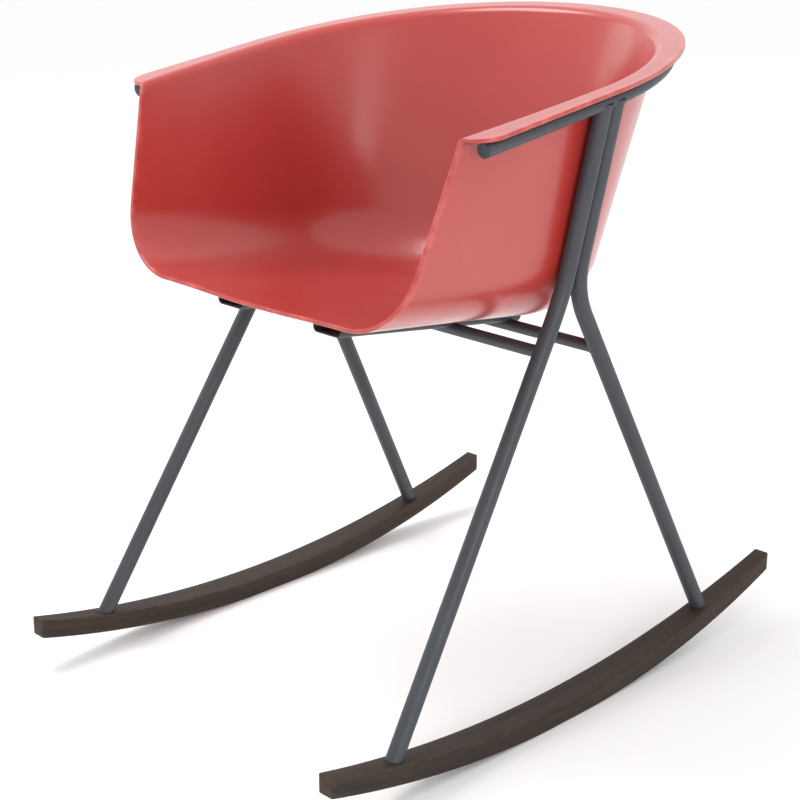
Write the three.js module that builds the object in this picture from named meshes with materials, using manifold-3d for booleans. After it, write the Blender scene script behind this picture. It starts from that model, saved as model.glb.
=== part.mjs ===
// Tub rocking chair: a moulded shell that hangs from a tubular steel frame on two bent wood runners.
// Millimetres, +Z up. The sitter faces -Y, and +X is the sitter's left. Pieces are drawn with the floor at
// z = 0, and the finished group is moved so that its origin lies midway between the ends of the runners.
import * as THREE from 'three';
import { ParametricGeometry } from 'three/addons/geometries/ParametricGeometry.js';
import { mergeVertices } from 'three/addons/utils/BufferGeometryUtils.js';
import Module from 'manifold-3d';

const wasm = await Module();
wasm.setup();

// ---- driving dimensions -------------------------------------------------------------------
const GAP = 0.3;                     // clearance between pieces that touch

const RUNNER_SPACING = 510;          // centre to centre
const RUNNER_FRONT = -369.5;         // plumb-cut front end
const RUNNER_REAR = 396;             // plumb-cut rear end
const RUNNER_THICKNESS = 22.9;
const RUNNER_TOP_RADIUS = 1389;
const RUNNER_LOW_Y = -7.5;           // where the arc touches the floor
const RUNNER_MID_WIDTH = 39;
const RUNNER_END_WIDTH = 20;
const RUNNER_LAND = 100;             // flat land that the chair comes to rest on

const LEG_DIAMETER = 19;
const LEG_WALL = 1.5;
const LEG_BEND_RADIUS = 130;
const FRONT_FOOT_Y = -271;
const REAR_FOOT_Y = 261.5;
const FOOT_INSET = 1;                // foot centre inboard of the runner centre
const LEG_MEET_Z = 492;              // where a pair of legs comes together
const LEG_MEET_Y = 24;
const LEG_WALL_CLEARANCE = 1.2;      // between a leg and the shell's wall, where the legs come together

const ARM_TUBE_DIAMETER = 16;
const ARM_TUBE_WALL = 1.5;
const ARM_TUBE_SIDE_CLEARANCE = 8;   // between the tube and the top line of the shell's wall, in plan
const ARM_TUBE_BACK_CLEARANCE = 4.5;
const ARM_TUBE_FRONT = -168;

const CROSS_TUBE_DIAMETER = 14;
const CROSS_TUBE_WALL = 1.5;
const FRONT_CROSS_Z = 433.3;
const REAR_CROSS_Z = 419;

const SHELL_THICKNESS = 4.5;
const RIM_TILT = THREE.MathUtils.degToRad(8.1);
const RIM_HEIGHT = 714.5;            // top of the rim in the plane y = 0
const RIM_FRONT = -177;              // front tip of the armrests
const RIM_SIDE_FLANGE = 29.5;
const RIM_BACK_FLANGE = 28;
const RIM_QUARTER_SWELL = 3.5;       // extra flange halfway round from side to back
const RIM_CORNER_RADIUS = 25;
const RIM_BEND_RADIUS = 13;
const RIM_TIP_BEND_RADIUS = 7;
const RING_Y = 24;                   // centre of the rounded back in plan
const TOP_FRONT_HALF = 252;          // half widths and depth of the wall's top line
const TOP_HALF = 258;
const TOP_BACK = 270;
const BASE_FRONT_HALF = 219.5;       // half widths and depth of the wall's foot, on the seat plane
const BASE_HALF = 203;
const BASE_BACK = 149;
const SEAT_FRONT = -235;
const SEAT_FRONT_Z = 488.2;
const SEAT_TILT = THREE.MathUtils.degToRad(7.7);
const SEAT_DISH = 3;
const SEAT_FILLET_RADIUS = 82;

const RAIL_X = 80;
const RAIL_WIDTH = 45;
const RAIL_HEIGHT = 14.5;
const RAIL_SHEET = 2;
const RAIL_BEND = 7;
const RAIL_FRONT = -199.5;
const RAIL_REAR = 87;
const RAIL_DROP = 20.4;              // rail floor below the underside of the seat, measured plumb

const BOSS_DIAMETER = 16;
const INSERT_DIAMETER = 9;
const INSERT_LENGTH = 10;
const SEAT_SCREW_DIAMETER = 6;
const SEAT_SCREW_HEAD = 11;
const SEAT_SCREW_HEAD_HEIGHT = 3.2;
const SEAT_SCREW_FRONT_Y = -160;
const SEAT_SCREW_REAR_Y = 35;

const RUNNER_BOLT_DIAMETER = 8;
const RUNNER_BOLT_HEAD = 13;
const RUNNER_BOLT_HEAD_HEIGHT = 6;
const RUNNER_BOLT_RECESS = 8.5;      // head seat above the underside, along the bolt
const BUSH_LENGTH = 24;

const PLUG_FACE = 1.6;
const PLUG_LENGTH = 12;

// ---- materials ------------------------------------------------------------------------------
const shellPlastic = new THREE.MeshStandardMaterial({ color: 0xcc5650, roughness: 0.38, metalness: 0 });
const framePaint = new THREE.MeshStandardMaterial({ color: 0x444b50, roughness: 0.5, metalness: 0.2 });
const runnerWood = new THREE.MeshStandardMaterial({ color: 0x43352e, roughness: 0.65, metalness: 0 });
const zincSteel = new THREE.MeshStandardMaterial({ color: 0xb4b6b8, roughness: 0.35, metalness: 1 });
const insertBrass = new THREE.MeshStandardMaterial({ color: 0xb08d4f, roughness: 0.35, metalness: 1 });
const plugPlastic = new THREE.MeshStandardMaterial({ color: 0x2c3033, roughness: 0.6, metalness: 0 });

// ---- solids and booleans ----------------------------------------------------------------------
// A closed geometry becomes a solid once its shared vertices are merged.
function toSolid(geometry) {
  const bare = geometry.clone();
  bare.deleteAttribute('normal');
  bare.deleteAttribute('uv');
  const merged = mergeVertices(bare, 1e-3);
  const index = merged.index.array;
  const kept = [];
  for (let i = 0; i < index.length; i += 3) {
    const [a, b, c] = [index[i], index[i + 1], index[i + 2]];
    if (a !== b && b !== c && c !== a) {
      kept.push(a, b, c);
    }
  }
  return new wasm.Manifold(new wasm.Mesh({
    numProp: 3,
    vertProperties: new Float32Array(merged.attributes.position.array),
    triVerts: new Uint32Array(kept),
  }));
}

function toGeometry(solid) {
  const mesh = solid.getMesh();
  const geometry = new THREE.BufferGeometry();
  geometry.setAttribute('position', new THREE.BufferAttribute(mesh.vertProperties, 3));
  geometry.setIndex(new THREE.BufferAttribute(mesh.triVerts, 1));
  geometry.computeVertexNormals();
  return geometry;
}

function cut(solid, ...cutters) {
  return cutters.reduce((left, cutter) => left.subtract(cutter), solid);
}

function piece(name, solid, material) {
  const mesh = new THREE.Mesh(toGeometry(solid), material);
  mesh.name = name;
  return mesh;
}

// ---- tubes --------------------------------------------------------------------------------------
// A curve through given stations, which ExtrudeGeometry visits one by one.
class StationPath extends THREE.Curve {
  constructor(stations) {
    super();
    this.stations = stations;
  }

  get steps() {
    return this.stations.length - 1;
  }

  getUtoTmapping(u) {
    return u;
  }

  getPoint(t, target = new THREE.Vector3()) {
    const place = t * this.steps;
    const index = Math.min(Math.floor(place), this.steps - 1);
    return target.lerpVectors(this.stations[index], this.stations[index + 1], place - index);
  }
}

// Stations from start to end with one bend of the given radius at the corner.
function bentStations(start, corner, end, radius, arcSteps) {
  const into = corner.clone().sub(start).normalize();
  const out = end.clone().sub(corner).normalize();
  const turn = into.angleTo(out);
  const inward = out.clone().addScaledVector(into, -Math.cos(turn)).normalize();
  const arcStart = corner.clone().addScaledVector(into, -radius * Math.tan(turn / 2));
  const stations = [start];
  for (let i = 0; i <= arcSteps; i += 1) {
    const angle = (turn * i) / arcSteps;
    stations.push(arcStart.clone()
      .addScaledVector(into, radius * Math.sin(angle))
      .addScaledVector(inward, radius * (1 - Math.cos(angle))));
  }
  stations.push(end);
  return stations;
}

function roundSection(diameter, bore = 0) {
  const section = new THREE.Shape();
  section.absarc(0, 0, diameter / 2, 0, 2 * Math.PI);
  if (bore > 0) {
    const hole = new THREE.Path();
    hole.absarc(0, 0, bore / 2, 0, 2 * Math.PI, true);
    section.holes.push(hole);
  }
  return section;
}

function sweep(section, stations, sides = 16) {
  const path = new StationPath(stations);
  return toSolid(new THREE.ExtrudeGeometry(section, {
    steps: path.steps,
    curveSegments: sides / 2,
    extrudePath: path,
    bevelEnabled: false,
  }));
}

// A turned piece: the profile is [radius, height] pairs, and its axis runs from origin along axis.
function turned(profile, origin, axis, sides = 20) {
  const points = profile.map(([radius, height]) => new THREE.Vector2(radius, height));
  const geometry = new THREE.LatheGeometry(points, sides);
  geometry.applyQuaternion(new THREE.Quaternion().setFromUnitVectors(new THREE.Vector3(0, 1, 0), axis));
  geometry.translate(origin.x, origin.y, origin.z);
  return toSolid(geometry);
}

// ---- reference surfaces that several pieces share -------------------------------------------------
function rimHeight(y) {
  return RIM_HEIGHT + Math.tan(RIM_TILT) * y;
}

function seatHeight(y) {
  return SEAT_FRONT_Z - Math.tan(SEAT_TILT) * (y - SEAT_FRONT);
}

function seatUnderside(y) {
  return seatHeight(y) - SHELL_THICKNESS / Math.cos(SEAT_TILT);
}

function railFloor(y) {
  return seatUnderside(y) - RAIL_DROP;
}

// Both arcs of a runner share one centre, at the height that puts the flat land on the floor.
const RUNNER_BOTTOM_RADIUS = RUNNER_TOP_RADIUS + RUNNER_THICKNESS;
const RUNNER_CENTRE_Z = Math.sqrt(RUNNER_BOTTOM_RADIUS ** 2 - (RUNNER_LAND / 2) ** 2);

function runnerTop(y) {
  return RUNNER_CENTRE_Z - Math.sqrt(RUNNER_TOP_RADIUS ** 2 - (y - RUNNER_LOW_Y) ** 2);
}

const ARM_TUBE_DROP = (SHELL_THICKNESS + GAP + ARM_TUBE_DIAMETER / 2) / Math.cos(RIM_TILT);

function armTubeHeight(y) {
  return rimHeight(y) - ARM_TUBE_DROP;
}

// Half width of the arm tube, and the depth of its rear bend behind the ring's centre.
const ARM_TUBE_HALF = TOP_HALF + ARM_TUBE_SIDE_CLEARANCE + ARM_TUBE_DIAMETER / 2;
const ARM_TUBE_BACK = TOP_BACK + ARM_TUBE_BACK_CLEARANCE + ARM_TUBE_DIAMETER / 2;

// The legs come together just outside the wall, which leans outwards from its foot to its top.
const WALL_FOOT_Z = seatHeight(LEG_MEET_Y);
const WALL_RISE = rimHeight(LEG_MEET_Y) - WALL_FOOT_Z;
const WALL_LEAN = Math.atan2(TOP_HALF - BASE_HALF, WALL_RISE);
const LEG_MEET_X = BASE_HALF + Math.tan(WALL_LEAN) * (LEG_MEET_Z - WALL_FOOT_Z)
  + (SHELL_THICKNESS + LEG_DIAMETER / 2) / Math.cos(WALL_LEAN) + LEG_WALL_CLEARANCE;

const SIDES = { left: 1, right: -1 };
const LEG_HALF_PITCH = (LEG_DIAMETER + GAP) / 2;
const LEGS = {
  front: { footY: FRONT_FOOT_Y, lean: -1 },
  rear: { footY: REAR_FOOT_Y, lean: 1 },
};

function legPoints(end, side) {
  const { footY, lean } = LEGS[end];
  const columnY = LEG_MEET_Y + lean * LEG_HALF_PITCH;
  const foot = new THREE.Vector3(side * (RUNNER_SPACING / 2 - FOOT_INSET), footY, runnerTop(footY));
  const meet = new THREE.Vector3(side * LEG_MEET_X, columnY, LEG_MEET_Z);
  const top = new THREE.Vector3(side * ARM_TUBE_HALF, columnY, armTubeHeight(columnY));
  return { foot, meet, top, upward: meet.clone().sub(foot).normalize() };
}

// A point on the straight lower part of a leg, at a given height.
function legAtHeight(end, side, z) {
  const { foot, upward } = legPoints(end, side);
  return foot.clone().addScaledVector(upward, (z - foot.z) / upward.z);
}

function crossTubeEnd(end, side) {
  return legAtHeight(end, side, end === 'front' ? FRONT_CROSS_Z : REAR_CROSS_Z);
}

// ---- runners -----------------------------------------------------------------------------------------
// Side profile between two arcs about one centre, in the (y, z) plane.
function runnerProfile(topOffset, bottomOffset) {
  const top = RUNNER_TOP_RADIUS - topOffset;
  const bottom = RUNNER_BOTTOM_RADIUS + bottomOffset;
  const front = RUNNER_FRONT - RUNNER_LOW_Y;
  const rear = RUNNER_REAR - RUNNER_LOW_Y;
  const angle = (reach, radius) => Math.asin(reach / radius) - Math.PI / 2;
  const shape = new THREE.Shape();
  shape.absarc(RUNNER_LOW_Y, RUNNER_CENTRE_Z, bottom, angle(front, bottom), angle(-RUNNER_LAND / 2, bottom));
  shape.absarc(RUNNER_LOW_Y, RUNNER_CENTRE_Z, bottom, angle(RUNNER_LAND / 2, bottom), angle(rear, bottom));
  shape.absarc(RUNNER_LOW_Y, RUNNER_CENTRE_Z, top, angle(rear, top), angle(front, top), true);
  return shape;
}

function runnerHalfWidth(y) {
  const middle = (RUNNER_FRONT + RUNNER_REAR) / 2;
  const along = (y - middle) / (RUNNER_REAR - middle);
  return (RUNNER_MID_WIDTH - (RUNNER_MID_WIDTH - RUNNER_END_WIDTH) * along ** 2) / 2;
}

// The extrusion's own x, y, z are the chair's y, z, x.
function acrossChair(shape, width, x, curveSegments) {
  const geometry = new THREE.ExtrudeGeometry(shape, { depth: width, curveSegments, bevelEnabled: false });
  geometry.applyMatrix4(new THREE.Matrix4().set(0, 0, 1, x - width / 2, 1, 0, 0, 0, 0, 1, 0, 0, 0, 0, 0, 1));
  return toSolid(geometry);
}

function runner(side) {
  const centreX = (side * RUNNER_SPACING) / 2;
  const slab = acrossChair(runnerProfile(0, 0), RUNNER_MID_WIDTH + 2, centreX, 8);
  const planSteps = 18;
  const outline = [];
  for (const edge of [1, -1]) {
    for (let i = 0; i <= planSteps; i += 1) {
      const share = edge > 0 ? i / planSteps : 1 - i / planSteps;
      const y = THREE.MathUtils.lerp(RUNNER_FRONT, RUNNER_REAR, share);
      outline.push(new THREE.Vector2(centreX + edge * runnerHalfWidth(y), y));
    }
  }
  const plan = new THREE.ExtrudeGeometry(new THREE.Shape(outline), { depth: 200, bevelEnabled: false });
  plan.translate(0, 0, -20);
  const holes = Object.keys(LEGS).flatMap((end) => boltHoles(end, side));
  return cut(slab.intersect(toSolid(plan)), ...holes);
}

// Everything below the runner's top face, with the working gap, for cutting the feet to fit.
function runnerRelief(side) {
  return acrossChair(runnerProfile(GAP, 60), 120, (side * RUNNER_SPACING) / 2, 24);
}

// ---- bolts between runner and leg ----------------------------------------------------------------------
function boltFrame(end, side) {
  const { foot, upward } = legPoints(end, side);
  const headSeat = foot.clone().addScaledVector(upward, RUNNER_BOLT_RECESS - RUNNER_THICKNESS / upward.z);
  return { headSeat, foot, upward };
}

function boltHoles(end, side) {
  const { headSeat, upward } = boltFrame(end, side);
  const shank = turned([[0, 0], [RUNNER_BOLT_DIAMETER / 2 + GAP, 0], [RUNNER_BOLT_DIAMETER / 2 + GAP, 60], [0, 60]],
    headSeat, upward);
  const pocket = turned([[0, -40], [RUNNER_BOLT_HEAD / 2 + GAP, -40], [RUNNER_BOLT_HEAD / 2 + GAP, 0], [0, 0]],
    headSeat, upward);
  return [shank, pocket];
}

function runnerBolt(end, side) {
  const { headSeat, foot, upward } = boltFrame(end, side);
  const shank = RUNNER_BOLT_DIAMETER / 2;
  const head = RUNNER_BOLT_HEAD / 2;
  const reach = foot.distanceTo(headSeat) + BUSH_LENGTH - 4;
  const socketRadius = 3;
  const socketDepth = 3;
  const profile = [
    [0, socketDepth - RUNNER_BOLT_HEAD_HEIGHT],
    [socketRadius, socketDepth - RUNNER_BOLT_HEAD_HEIGHT],
    [socketRadius, -RUNNER_BOLT_HEAD_HEIGHT],
    [head - 1, -RUNNER_BOLT_HEAD_HEIGHT],
    [head, 1 - RUNNER_BOLT_HEAD_HEIGHT],
    [head, -GAP],
    [shank, -GAP],
    [shank, reach - 1],
    [shank - 1, reach],
    [0, reach],
  ];
  return turned(profile, headSeat, upward);
}

// Threaded bush pressed into the foot of a leg.
function legBush(end, side) {
  const { foot, upward } = legPoints(end, side);
  const outer = LEG_DIAMETER / 2 - LEG_WALL - GAP;
  const inner = RUNNER_BOLT_DIAMETER / 2 + GAP;
  const bottom = -4;
  const profile = [[inner, bottom], [outer, bottom], [outer, BUSH_LENGTH], [inner, BUSH_LENGTH], [inner, bottom]];
  return cut(turned(profile, foot, upward), runnerRelief(side));
}

// ---- frame ------------------------------------------------------------------------------------------------
function legStations(end, side) {
  const { foot, meet, top, upward } = legPoints(end, side);
  const start = foot.clone().addScaledVector(upward, -12);
  return bentStations(start, meet, top, LEG_BEND_RADIUS, 7);
}

function leg(end, side) {
  const section = roundSection(LEG_DIAMETER, LEG_DIAMETER - 2 * LEG_WALL);
  const armRelief = sweep(roundSection(ARM_TUBE_DIAMETER + 2 * GAP), armStations());
  return cut(sweep(section, legStations(end, side)), runnerRelief(side), armRelief);
}

// Straight arms joined by half an ellipse in plan, all in the tilted plane under the rim.
function armStations() {
  const arcSteps = 34;
  const at = (x, y) => new THREE.Vector3(x, y, armTubeHeight(y));
  const stations = [at(ARM_TUBE_HALF, ARM_TUBE_FRONT)];
  for (let i = 0; i <= arcSteps; i += 1) {
    const angle = (Math.PI * i) / arcSteps;
    stations.push(at(ARM_TUBE_HALF * Math.cos(angle), RING_Y + ARM_TUBE_BACK * Math.sin(angle)));
  }
  stations.push(at(-ARM_TUBE_HALF, ARM_TUBE_FRONT));
  return stations;
}

function armTube() {
  return sweep(roundSection(ARM_TUBE_DIAMETER, ARM_TUBE_DIAMETER - 2 * ARM_TUBE_WALL), armStations());
}

function armPlug(side) {
  const bore = ARM_TUBE_DIAMETER / 2 - ARM_TUBE_WALL;
  const rim = ARM_TUBE_DIAMETER / 2;
  const forward = new THREE.Vector3(0, -Math.cos(RIM_TILT), -Math.sin(RIM_TILT));
  const origin = new THREE.Vector3(side * ARM_TUBE_HALF, ARM_TUBE_FRONT, armTubeHeight(ARM_TUBE_FRONT));
  const profile = [
    [0, -PLUG_LENGTH],
    [bore - GAP - 0.8, -PLUG_LENGTH],
    [bore - GAP, 0.8 - PLUG_LENGTH],
    [bore - GAP, GAP],
    [rim, GAP],
    [rim, PLUG_FACE - 0.6],
    [rim - 0.8, PLUG_FACE],
    [0, PLUG_FACE],
  ];
  return turned(profile, origin, forward);
}

function crossTube(end) {
  const section = roundSection(CROSS_TUBE_DIAMETER, CROSS_TUBE_DIAMETER - 2 * CROSS_TUBE_WALL);
  const ends = [crossTubeEnd(end, 1), crossTubeEnd(end, -1)];
  const legRelief = Object.values(SIDES).map((side) => (
    sweep(roundSection(LEG_DIAMETER + 2 * GAP), legStations(end, side))
  ));
  return cut(sweep(section, ends), ...legRelief);
}

// ---- seat rails ---------------------------------------------------------------------------------------------
// An open channel of bent sheet. The section is drawn in (x, z) about the middle of its floor.
function railSection() {
  const half = RAIL_WIDTH / 2;
  const inner = RAIL_BEND - RAIL_SHEET;
  const section = new THREE.Shape();
  section.moveTo(-half, RAIL_HEIGHT);
  section.lineTo(-half, RAIL_BEND);
  section.absarc(RAIL_BEND - half, RAIL_BEND, RAIL_BEND, Math.PI, 1.5 * Math.PI);
  section.absarc(half - RAIL_BEND, RAIL_BEND, RAIL_BEND, -0.5 * Math.PI, 0);
  section.lineTo(half, RAIL_HEIGHT);
  section.lineTo(half - RAIL_SHEET, RAIL_HEIGHT);
  section.absarc(half - RAIL_BEND, RAIL_BEND, inner, 0, -0.5 * Math.PI, true);
  section.absarc(RAIL_BEND - half, RAIL_BEND, inner, 1.5 * Math.PI, Math.PI, true);
  section.lineTo(RAIL_SHEET - half, RAIL_HEIGHT);
  return section;
}

function seatRail(side) {
  const length = (RAIL_REAR - RAIL_FRONT) / Math.cos(SEAT_TILT);
  const geometry = new THREE.ExtrudeGeometry(railSection(), { depth: length, curveSegments: 4, bevelEnabled: false });
  geometry.rotateX(Math.PI / 2 - SEAT_TILT);
  geometry.translate(side * RAIL_X, RAIL_REAR, railFloor(RAIL_REAR));
  const tubes = Object.keys(LEGS).map((end) => sweep(roundSection(CROSS_TUBE_DIAMETER + 2 * GAP),
    [crossTubeEnd(end, 1), crossTubeEnd(end, -1)]));
  const holes = Object.keys(SEAT_SCREWS).map((end) => {
    const { floor, upward } = screwFrame(end, side);
    const radius = SEAT_SCREW_DIAMETER / 2 + GAP;
    return turned([[0, -10], [radius, -10], [radius, 10], [0, 10]], floor, upward);
  });
  return cut(toSolid(geometry), ...tubes, ...holes);
}

// ---- seat fixings ----------------------------------------------------------------------------------------------
const SEAT_SCREWS = { front: SEAT_SCREW_FRONT_Y, rear: SEAT_SCREW_REAR_Y };
const SEAT_UPWARD = new THREE.Vector3(0, Math.sin(SEAT_TILT), Math.cos(SEAT_TILT));

function screwFrame(end, side) {
  const y = SEAT_SCREWS[end];
  return { floor: new THREE.Vector3(side * RAIL_X, y, railFloor(y)), upward: SEAT_UPWARD };
}

function seatScrew(end, side) {
  const { floor, upward } = screwFrame(end, side);
  const shank = SEAT_SCREW_DIAMETER / 2;
  const head = SEAT_SCREW_HEAD / 2;
  const reach = RAIL_SHEET + GAP + INSERT_LENGTH;
  const profile = [
    [0, 2 - SEAT_SCREW_HEAD_HEIGHT],
    [1.8, 2 - SEAT_SCREW_HEAD_HEIGHT],
    [1.8, -SEAT_SCREW_HEAD_HEIGHT],
    [head - 2.4, -SEAT_SCREW_HEAD_HEIGHT],
    [head - 0.6, -SEAT_SCREW_HEAD_HEIGHT / 2],
    [head, -GAP],
    [shank, -GAP],
    [shank, reach - 0.8],
    [shank - 0.8, reach],
    [0, reach],
  ];
  return turned(profile, floor, upward);
}

function seatInsert(end, side) {
  const { floor, upward } = screwFrame(end, side);
  const outer = INSERT_DIAMETER / 2;
  const inner = SEAT_SCREW_DIAMETER / 2 + GAP;
  const bottom = RAIL_SHEET + 2 * GAP;
  const top = bottom + INSERT_LENGTH;
  return turned([[inner, bottom], [outer, bottom], [outer, top], [inner, top], [inner, bottom]], floor, upward);
}

function seatBoss(end, side) {
  const { floor, upward } = screwFrame(end, side);
  const radius = BOSS_DIAMETER / 2;
  const bottom = RAIL_SHEET + GAP;
  const top = RAIL_DROP * Math.cos(SEAT_TILT) + SHELL_THICKNESS / 2 - SEAT_DISH / 2;
  return turned([[0, bottom], [radius, bottom], [radius, top], [0, top]], floor, upward);
}

function insertBore(end, side) {
  const { floor, upward } = screwFrame(end, side);
  const radius = INSERT_DIAMETER / 2 + GAP;
  const top = RAIL_SHEET + 2 * GAP + INSERT_LENGTH + GAP;
  return turned([[0, -10], [radius, -10], [radius, top], [0, top]], floor, upward);
}

// ---- seat shell ---------------------------------------------------------------------------------------------------
const ARM_STATIONS = 9;
const BACK_STATIONS = 12;            // a quarter of the round back
const FILLET_STEPS = 7;

// A half station runs from 0 at the armrest tip to 1 at the middle of the back.
function shellStation(index) {
  if (index <= ARM_STATIONS) {
    const along = (index / ARM_STATIONS) ** 1.6;
    const fromRing = (1 - along) ** 2;
    const y = (front) => THREE.MathUtils.lerp(front, RING_Y, along);
    const behindTip = y(RIM_FRONT) - RIM_FRONT;
    const round = Math.max(RIM_CORNER_RADIUS - behindTip, 0);
    return {
      spineY: y(SEAT_FRONT),
      base: new THREE.Vector2(BASE_HALF + (BASE_FRONT_HALF - BASE_HALF) * fromRing, y(SEAT_FRONT)),
      top: new THREE.Vector2(TOP_HALF + (TOP_FRONT_HALF - TOP_HALF) * fromRing, y(RIM_FRONT)),
      outward: new THREE.Vector2(1, 0),
      flange: RIM_SIDE_FLANGE + (TOP_HALF - TOP_FRONT_HALF) * fromRing - RIM_CORNER_RADIUS
        + Math.sqrt(RIM_CORNER_RADIUS ** 2 - round ** 2),
      bend: RIM_BEND_RADIUS + (RIM_TIP_BEND_RADIUS - RIM_BEND_RADIUS) * fromRing,
    };
  }
  const angle = ((index - ARM_STATIONS) / BACK_STATIONS) * (Math.PI / 2);
  const [cos, sin] = [Math.cos(angle), Math.sin(angle)];
  return {
    spineY: RING_Y,
    base: new THREE.Vector2(BASE_HALF * cos, RING_Y + BASE_BACK * sin),
    top: new THREE.Vector2(TOP_HALF * cos, RING_Y + TOP_BACK * sin),
    outward: new THREE.Vector2(cos / TOP_HALF, sin / TOP_BACK).normalize(),
    flange: THREE.MathUtils.lerp(RIM_SIDE_FLANGE, RIM_BACK_FLANGE, sin ** 2)
      + RIM_QUARTER_SWELL * Math.sin(2 * angle) ** 2,
    bend: RIM_BEND_RADIUS,
  };
}

// One line up the inside of the shell: spine, seat, fillet, wall, bend, flange edge.
function shellRow(index) {
  const { spineY, base, top, outward, flange, bend } = shellStation(index);
  const spine = new THREE.Vector3(0, spineY, seatHeight(spineY));
  const foot = new THREE.Vector3(base.x, base.y, seatHeight(base.y));
  const crest = new THREE.Vector3(top.x, top.y, rimHeight(top.y));
  const edgeY = top.y + outward.y * flange;
  const edge = new THREE.Vector3(top.x + outward.x * flange, edgeY, rimHeight(edgeY));
  const seatAndWall = bentStations(spine, foot, crest, SEAT_FILLET_RADIUS, FILLET_STEPS);
  const wallTop = bentStations(foot, crest, edge, bend, 4);
  const seatEnd = seatAndWall[1];
  const wallStart = seatAndWall[FILLET_STEPS + 1];
  const row = [];
  for (const share of [0, 0.35, 0.7]) {
    row.push(spine.clone().lerp(seatEnd, share));
  }
  row.push(...seatAndWall.slice(1, FILLET_STEPS + 2));
  for (const share of [0.25, 0.5, 0.75]) {
    row.push(wallStart.clone().lerp(wallTop[1], share));
  }
  row.push(...wallTop.slice(1, -1));
  row.push(edge.clone().lerp(wallTop[5], SHELL_THICKNESS / (2 * flange)));
  for (const point of row) {
    const share = Math.min(spine.distanceTo(point) / spine.distanceTo(seatEnd), 1);
    point.z -= SEAT_DISH * Math.cos((share * Math.PI) / 2) ** 2;
  }
  return row;
}

function mirrored(row) {
  return row.map((point) => new THREE.Vector3(-point.x, point.y, point.z));
}

// Rows of inside points from the right armrest tip round the back to the left one.
function shellRows() {
  const half = [];
  for (let i = 0; i <= ARM_STATIONS + BACK_STATIONS; i += 1) {
    half.push(shellRow(i));
  }
  return [...half.map(mirrored), ...half.slice(0, -1).reverse()];
}

function shellNormal(rows, i, j) {
  if (j === 0) {
    return SEAT_UPWARD.clone();
  }
  const before = rows[Math.max(i - 1, 0)][j];
  const after = rows[Math.min(i + 1, rows.length - 1)][j];
  const along = after.clone().sub(before);
  const row = rows[i];
  const up = row[Math.min(j + 1, row.length - 1)].clone().sub(row[j - 1]);
  return along.cross(up).normalize();
}

// The closed section at a row: the inside out to the rim, round its edge, and back under the outside.
function shellLoop(rows, i, collapse) {
  const row = rows[i];
  const last = row.length - 1;
  const half = SHELL_THICKNESS / 2;
  const middle = row.map((point, j) => point.clone().addScaledVector(shellNormal(rows, i, j), -half));
  if (collapse) {
    const inward = rows[i === 0 ? 1 : i - 1];
    middle.forEach((point, j) => {
      point.addScaledVector(row[j].clone().sub(inward[j]).normalize(), half * 0.7);
    });
    const tip = middle[last].clone();
    return [...middle, tip, tip, tip, ...middle.slice().reverse()];
  }
  const normal = shellNormal(rows, i, last);
  const outward = row[last].clone().sub(row[last - 1]).normalize();
  const lip = [45, 90, 135].map((degrees) => {
    const angle = THREE.MathUtils.degToRad(degrees);
    return middle[last].clone()
      .addScaledVector(normal, half * Math.cos(angle))
      .addScaledVector(outward, half * Math.sin(angle));
  });
  const inside = row;
  const outside = row.map((point, j) => point.clone().addScaledVector(shellNormal(rows, i, j), -2 * half));
  return [...inside, ...lip, ...outside.reverse()];
}

function shellSkin() {
  const rows = shellRows();
  const lastRow = rows.length - 1;
  const loops = [
    shellLoop(rows, 0, true),
    ...rows.map((row, i) => shellLoop(rows, i, false)),
    shellLoop(rows, lastRow, true),
  ];
  const slices = loops.length - 1;
  const stacks = loops[0].length - 1;
  const place = (u, v, target) => target.copy(loops[Math.round(u * slices)][Math.round(v * stacks)]);
  return toSolid(new ParametricGeometry(place, slices, stacks));
}

function seatShell() {
  let shell = shellSkin();
  for (const side of Object.values(SIDES)) {
    for (const end of Object.keys(SEAT_SCREWS)) {
      shell = shell.add(seatBoss(end, side)).subtract(insertBore(end, side));
    }
  }
  return shell;
}

// ---- assembly -------------------------------------------------------------------------------------------------------
const chair = new THREE.Group();
chair.add(piece('seat_shell', seatShell(), shellPlastic));
chair.add(piece('arm_tube', armTube(), framePaint));
chair.add(piece('front_cross_tube', crossTube('front'), framePaint));
chair.add(piece('rear_cross_tube', crossTube('rear'), framePaint));

for (const [hand, side] of Object.entries(SIDES)) {
  chair.add(piece(`seat_rail_${hand}`, seatRail(side), framePaint));
  chair.add(piece(`runner_${hand}`, runner(side), runnerWood));
  chair.add(piece(`arm_tube_plug_${hand}`, armPlug(side), plugPlastic));
  for (const end of Object.keys(LEGS)) {
    chair.add(piece(`${end}_leg_${hand}`, leg(end, side), framePaint));
    chair.add(piece(`leg_bush_${end}_${hand}`, legBush(end, side), zincSteel));
    chair.add(piece(`runner_bolt_${end}_${hand}`, runnerBolt(end, side), zincSteel));
    chair.add(piece(`seat_screw_${end}_${hand}`, seatScrew(end, side), zincSteel));
    chair.add(piece(`seat_insert_${end}_${hand}`, seatInsert(end, side), insertBrass));
  }
}

chair.position.y = -(RUNNER_FRONT + RUNNER_REAR) / 2;

export default chair;
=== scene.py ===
"""Looks of the tub rocking chair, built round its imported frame. Metres, +Z up; the sitter faces -Y and +X is
the sitter's left. Pieces are drawn with the floor at z = 0 and moved to where the frame's runners stand."""
import math

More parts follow.
